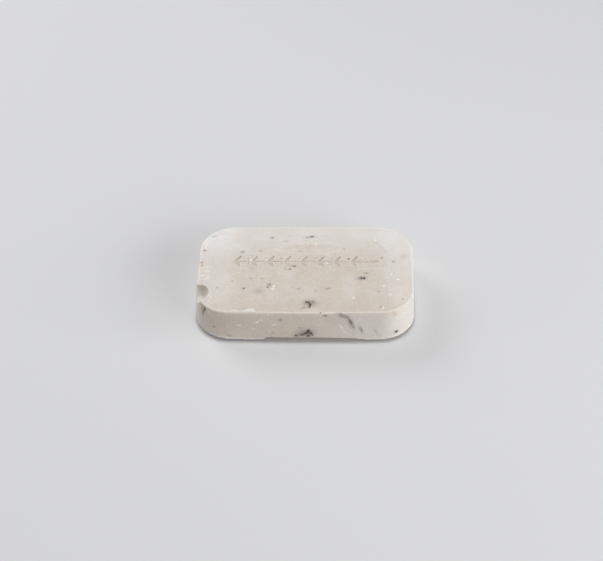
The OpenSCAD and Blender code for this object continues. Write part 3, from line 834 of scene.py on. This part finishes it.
# Flower heads: dried florets that were stirred into the soap and cut through when it was milled. Each
# is a clump of crumpled petals, lying flush with the surface.
DRAW_SEED = 11
random.seed(DRAW_SEED)
soap_tree = BVHTree.FromPolygons(
    [v.co / MM for v in soap_mesh.vertices], [tuple(p.vertices) for p in soap_mesh.polygons]
)
SMALL_BIT = 1.6
RIB_DEPTH, TIP_TAPER = 0.10, 0.25
WRINKLE_DEPTH = 0.08
START_ABOVE, START_BEFORE, START_BESIDE = 40, -60, 40


def seat(where, across, along, degrees, sunk):
    """Where a piece made flat on XY goes: in the surface, with its own Z pointing out of it."""
    if where == "face":
        start = Vector((across, along, START_ABOVE))
        out, side = Vector((0, 0, 1)), Vector((1, 0, 0))
    elif where == "front":
        start = Vector((across, START_BEFORE, along))
        out, side = Vector((0, -1, 0)), Vector((1, 0, 0))
    else:
        a = math.radians(across)
        out, side = Vector((math.cos(a), math.sin(a), 0)), Vector((-math.sin(a), math.cos(a), 0))
        middle_x = CORNER_X if a > math.pi * 1.5 else -CORNER_X
        start = Vector((middle_x, -CORNER_Y, along)) + out * START_BESIDE
    hit = soap_tree.ray_cast(start, -out)[0]
    basis = Matrix((side, out.cross(side), out)).transposed().to_4x4()
    return Matrix.Translation(hit - out * sunk) @ basis @ Matrix.Rotation(math.radians(degrees), 4, "Z")


def dried_bit(bm, place, length, width, thick, crumple=0.2, ribs=0, tint=0.0, veil=0.1, fade=0.4):
    """One dried bud, petal or seed: a ball drawn long, ribbed and crumpled, under a veil of soap."""
    tone = bm.verts.layers.float_color.get("tone") or bm.verts.layers.float_color.new("tone")
    round_segments, long_segments = (12, 8) if length < SMALL_BIT else (20, 14)
    ball = bmesh.ops.create_uvsphere(
        bm, u_segments=round_segments, v_segments=long_segments, radius=1
    )["verts"]
    shift = Vector((random.uniform(0, 90), random.uniform(0, 90), 0))
    for v in ball:
        u = v.co.copy()
        rim = math.hypot(u.x, u.y)
        rough = noise.noise(u * 1.6 + shift) * crumple + noise.noise(u * 4.1 + shift) * crumple * 0.5
        around = math.atan2(u.z, u.y)
        ridge = 1 + RIB_DEPTH * math.cos(ribs * around) * (1 - abs(u.x)) if ribs else 1
        taper = 1 - TIP_TAPER * max(u.x, 0) ** 2
        v.co = Vector((
            u.x * length / 2 * (1 + rough * 0.6),
            u.y * width / 2 * ridge * taper * (1 + rough * 1.4),
            u.z * thick / 2 * ridge * taper + rough * thick * 0.35,
        ))
        covered = veil + fade * max(0.0, rim + rough) ** 3
        fold = 0.5 + 0.5 * noise.noise(u * 2.3 - shift)
        v[tone] = (tint, covered, fold, 1)
    bmesh.ops.transform(bm, matrix=place, verts=ball)


def dried_piece(name, bits, material, sunk=0.36):
    """Makes one piece from its bits: where each lies, its place, turn, length, width and thickness."""
    bm = bmesh.new()
    for where, across, along, degrees, length, width, thick, details in bits:
        place = seat(where, across, along, degrees, thick * sunk)
        dried_bit(bm, place, length, width, thick, **details)
    bmesh.ops.scale(bm, vec=(MM, MM, MM), verts=bm.verts)
    mesh = bpy.data.meshes.new(name + "_dried")
    bm.to_mesh(mesh)
    bm.free()
    for polygon in mesh.polygons:
        polygon.use_smooth = True
    mesh.materials.append(material)
    piece = bpy.data.objects.new(name + "_dried", mesh)
    bpy.context.scene.collection.objects.link(piece)
    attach(piece, "root")
    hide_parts(name)


def dried_material(name, dark, bloom_tone, warm, gloss):
    """Dried plant: dark, with a paler bloom in its folds and warm tips, under a thin skin of soap."""
    material, wires = new_material(name)
    tint, veil, fold = wires.painted("tone")
    bloom = (wires.noise(0.45, detail=3) * 0.6 + fold * 0.5).between(0.42, 0.78)
    colour = (bloom * 0.75).mixed(dark, bloom_tone)
    colour = tint.mixed(colour, warm)
    skin = (veil * (wires.noise(0.6) + 0.5)).between(0.0, 1.0)
    colour = skin.mixed(colour, SOAP_COLOUR)
    wrinkles = wires.noise(0.3, detail=3)
    bump = wires.add(
        "ShaderNodeBump", None, {"Strength": 0.5, "Distance": WRINKLE_DEPTH * MM, "Height": wrinkles}
    )
    surface = wires.add(
        "ShaderNodeBsdfPrincipled",
        None,
        {
            "Base Color": colour,
            "Roughness": gloss + bloom * 0.15,
            "Normal": bump,
            "Specular IOR Level": 0.35,
        },
    )
    finish_surface(wires, surface)
    return material


FLORET_DARK = (0.048, 0.026, 0.022)
FLORET_BLOOM = (0.170, 0.125, 0.112)
FLORET_WARM = (0.260, 0.105, 0.045)
FLORET = dict(crumple=0.42)
floret_material = dried_material("dried_floret", FLORET_DARK, FLORET_BLOOM, FLORET_WARM, 0.62)
dried_piece("flower_heads", (
    ("face", 1.2, -21.9, 10, 2.6, 1.7, 1.2, dict(crumple=0.42, veil=0.2)),
    ("face", 2.1, -22.4, -15, 1.7, 1.2, 0.9, FLORET),
    ("face", 3.7, -21.7, -4, 2.1, 1.2, 0.9, dict(crumple=0.42, veil=0.4)),
    ("face", 2.6, -23.4, 84, 2.1, 1.4, 1.0, FLORET),
    ("face", 2.4, -24.7, 70, 1.7, 1.4, 0.8, dict(crumple=0.3, tint=0.7, veil=0.1)),
    ("front", 1.7, 6.4, 78, 2.8, 1.9, 1.3, FLORET),
    ("front", 0.6, 5.0, 25, 2.4, 1.4, 1.1, FLORET),
    ("front", 2.8, 5.1, -40, 2.6, 1.5, 1.1, FLORET),
    ("front", 1.9, 4.6, 10, 2.8, 1.8, 1.3, dict(crumple=0.6, veil=0.32, fade=0.3)),
    ("front", 1.7, 3.4, 6, 3.0, 1.0, 0.8, FLORET),
    ("front", -0.9, 4.2, 8, 4.2, 1.5, 0.9, dict(crumple=0.5, veil=0.25, fade=0.5)),
    ("front", 3.5, 4.0, -62, 1.6, 1.0, 0.9, dict(crumple=0.4, tint=0.6)),
    ("front", -3.7, 3.6, -30, 1.6, 1.1, 0.9, dict(crumple=0.3, tint=0.85, veil=0.0)),
), floret_material, sunk=0.25)

# Flower buds: small closed buds of the same dried plant, ribbed along their length. They were stirred
# into the soap with the florets, and lie flush in its face and its walls.
BUD_DARK = (0.068, 0.036, 0.036)
BUD_BLOOM = (0.200, 0.150, 0.150)
BUD_WARM = (0.270, 0.115, 0.052)
BUD = dict(crumple=0.16, ribs=8)
FADED = dict(crumple=0.25, veil=0.5, fade=0.5)
bud_material = dried_material("dried_bud", BUD_DARK, BUD_BLOOM, BUD_WARM, 0.55)
dried_piece("flower_buds", (
    ("face", 24.9, -6.3, 8, 1.9, 1.7, 1.2, dict(crumple=0.3, ribs=8)),
    ("face", 26.4, -6.6, -10, 1.9, 1.6, 1.2, dict(crumple=0.3, ribs=8)),
    ("face", 27.3, -3.1, 4, 1.9, 0.7, 0.6, dict(crumple=0.25, tint=0.4, veil=0.4)),
    ("face", 2.6, 21.4, 14, 2.7, 1.1, 0.8, BUD),
    ("face", 0.6, 20.7, 16, 2.4, 0.9, 0.7, FADED),
    ("face", 0.0, 18.95, 8, 1.3, 0.7, 0.6, dict(crumple=0.25, tint=0.6, veil=0.4)),
    ("face", -15.7, 20.45, 0, 1.6, 1.2, 0.8, FADED),
    ("face", -5.0, 1.6, 4, 2.2, 0.9, 0.8, BUD),
    ("face", -15.7, -10.45, 20, 1.2, 1.0, 0.8, BUD),
    ("face", -16.6, -12.4, 48, 1.5, 0.9, 0.8, BUD),
    ("face", 10.3, -13.45, 12, 2.2, 0.8, 0.7, dict(crumple=0.25, tint=0.2, veil=0.5)),
    ("face", -2.8, -13.4, 8, 1.5, 0.7, 0.6, dict(crumple=0.25, tint=0.3, veil=0.55)),
    ("face", 19.8, 6.7, 2, 2.0, 0.8, 0.7, BUD),
    ("corner", 223.6, 14.4, 72, 3.6, 2.3, 1.5, dict(crumple=0.2, ribs=8, veil=0.25)),
    ("corner", 219.4, 11.9, 78, 3.6, 1.5, 1.0, dict(crumple=0.25, veil=0.4, fade=0.5)),
    ("corner", 225.6, 16.0, 30, 1.5, 1.1, 1.1, dict(crumple=0.3, tint=0.95, veil=0.0)),
), bud_material)

# Leaf shreds: flat slivers of dried leaf and stalk, stirred into the soap. They lie just under the
# surface of the front wall, so a skin of soap dulls them.
LEAF_DARK = (0.100, 0.088, 0.098)
LEAF_BLOOM = (0.230, 0.200, 0.205)
LEAF_WARM = (0.250, 0.160, 0.110)
shred_material = dried_material("dried_leaf", LEAF_DARK, LEAF_BLOOM, LEAF_WARM, 0.6)
dried_piece("leaf_shreds", (
    ("front", 17.0, 15.7, -27, 5.2, 2.5, 0.5, dict(crumple=0.35, veil=0.45, fade=0.5)),
    ("front", 18.9, 14.6, -40, 3.0, 1.4, 0.6, dict(crumple=0.35, veil=0.4, fade=0.5)),
    ("front", 20.5, 11.6, -70, 7.0, 1.9, 0.7, dict(crumple=0.3, veil=0.28, fade=0.5)),
    ("front", 21.5, 8.8, -66, 2.4, 0.9, 0.6, dict(crumple=0.3, tint=0.4, veil=0.3, fade=0.5)),
    ("front", 25.2, 7.2, -72, 3.8, 1.0, 0.4, dict(crumple=0.3, tint=0.9, veil=0.4, fade=0.6)),
    ("front", 31.6, 6.0, -60, 4.6, 0.4, 0.4, dict(crumple=0.3, tint=0.8, veil=0.6, fade=0.5)),
    ("front", -33.6, 3.3, 12, 2.6, 0.8, 0.4, dict(crumple=0.3, veil=0.5, fade=0.5)),
), shred_material)

# Seeds: round, hard and dry, and held flush in the soap's surface. The dark ones are whole, and the
# tan ones are bits of husk.
SEED_DARK = (0.022, 0.014, 0.014)
SEED_BLOOM = (0.070, 0.045, 0.042)
HUSK_TAN = (0.470, 0.190, 0.048)
WHOLE = dict(crumple=0.08, veil=0.0, fade=0.1)
HUSK = dict(crumple=0.3, tint=1.0, veil=0.0, fade=0.2)
seed_material = dried_material("seed", SEED_DARK, SEED_BLOOM, HUSK_TAN, 0.4)
dried_piece("seeds", (
    ("face", -27.1, -13.3, 0, 1.2, 1.1, 0.9, WHOLE),
    ("face", -28.8, 10.65, 0, 1.1, 1.0, 0.8, dict(crumple=0.2, tint=0.2, veil=0.4)),
    ("face", -20.6, 11.4, 0, 0.9, 0.8, 0.6, dict(crumple=0.2, tint=0.7)),
    ("face", 17.4, 12.9, 0, 0.9, 0.7, 0.6, dict(crumple=0.2, tint=0.8)),
    ("face", 34.5, 7.6, 0, 1.0, 0.8, 0.6, dict(crumple=0.2, tint=0.6)),
    ("face", 39.7, 4.35, 0, 1.4, 0.8, 0.7, dict(crumple=0.2, tint=0.6)),
    ("face", -6.9, -0.65, 32, 2.3, 1.1, 0.8, HUSK),
    ("face", -9.0, -0.55, 0, 0.8, 0.7, 0.6, HUSK),
    ("face", 4.9, -14.85, 0, 0.8, 0.7, 0.6, HUSK),
    ("face", 5.0, 7.3, 0, 0.7, 0.7, 0.5, dict(crumple=0.2, tint=0.8)),
    ("face", -46.2, 12.1, 30, 1.4, 0.8, 0.7, dict(crumple=0.2, tint=0.5)),
    ("face", -47.2, 3.85, 0, 1.4, 0.8, 0.7, dict(crumple=0.2, tint=0.6)),
    ("face", -32.4, -8.75, 0, 0.8, 0.7, 0.6, HUSK),
    ("face", -24.0, -6.8, 0, 0.7, 0.6, 0.5, HUSK),
    ("face", -19.2, -6.9, 0, 0.9, 0.7, 0.5, HUSK),
    ("face", 33.7, -24.75, 40, 0.9, 0.8, 0.6, HUSK),
    ("face", 33.0, -15.15, 0, 0.7, 0.6, 0.5, HUSK),
    ("face", 43.5, -19.95, 0, 0.7, 0.6, 0.5, HUSK),
    ("front", 9.2, 15.7, -28, 1.6, 1.1, 0.8, dict(crumple=0.2, tint=0.65, veil=0.0)),
    ("front", 7.2, 16.8, -40, 0.9, 0.7, 0.6, dict(crumple=0.2, tint=0.8)),
    ("front", -10.4, 13.1, 60, 1.5, 0.9, 0.8, dict(crumple=0.2, tint=0.75, veil=0.0)),
    ("front", -13.9, 5.1, 0, 0.9, 0.7, 0.6, HUSK),
    ("front", -2.1, 8.2, 0, 0.8, 0.6, 0.5, HUSK),
    ("front", -40.2, 6.7, 60, 0.9, 0.7, 0.6, dict(crumple=0.2, tint=0.6)),
    ("corner", 298.9, 4.0, 0, 2.0, 1.9, 1.7, WHOLE),
), seed_material)

# The surroundings: a plain pale floor and soft studio light, with wide lamps behind and at both sides
# and a small one overhead. They aren't part of the bar. Places and sizes here are in metres.
FLOOR_COLOUR = (0.735, 0.738, 0.752)
FLOOR_REACH = 3
SKY_STRENGTH = 0.14
bm = bmesh.new()
bmesh.ops.create_grid(bm, x_segments=1, y_segments=1, size=FLOOR_REACH)
floor_mesh = bpy.data.meshes.new("floor")
bm.to_mesh(floor_mesh)
bm.free()
floor = bpy.data.objects.new("floor", floor_mesh)
bpy.context.scene.collection.objects.link(floor)
floor_material, wires = new_material("studio_floor")
finish_surface(wires, wires.add(
    "ShaderNodeBsdfPrincipled", None,
    {"Base Color": (*FLOOR_COLOUR, 1), "Roughness": 0.9, "Specular IOR Level": 0.2},
))
floor_mesh.materials.append(floor_material)


def soft_lamp(name, place, size, power):
    """A round lamp that faces the bar."""
    lamp = bpy.data.lights.new(name, "AREA")
    lamp.shape = "DISK"
    lamp.size = size
    lamp.energy = power
    lamp_object = bpy.data.objects.new(name, lamp)
    lamp_object.location = place
    lamp_object.rotation_euler = Vector(place).to_track_quat("Z", "Y").to_euler()
    bpy.context.scene.collection.objects.link(lamp_object)


soft_lamp("over", (0.02, 0.08, 1.1), 0.14, 4.0)
soft_lamp("back_left", (-0.8, 0.8, 0.7), 0.8, 6.9)
soft_lamp("left", (-1.1, -0.15, 0.35), 0.6, 2.1)
soft_lamp("right", (1.1, -0.15, 0.35), 0.6, 4.6)
soft_lamp("front_right", (0.8, -0.8, 0.4), 0.7, 6.0)
world = bpy.data.worlds.new("studio")
bpy.context.scene.world = world
world.use_nodes = True
sky = world.node_tree.nodes["Background"]
sky.inputs[0].default_value = (1, 1, 1, 1)
sky.inputs[1].default_value = SKY_STRENGTH

view = bpy.context.scene.view_settings
view.view_transform = "Standard"
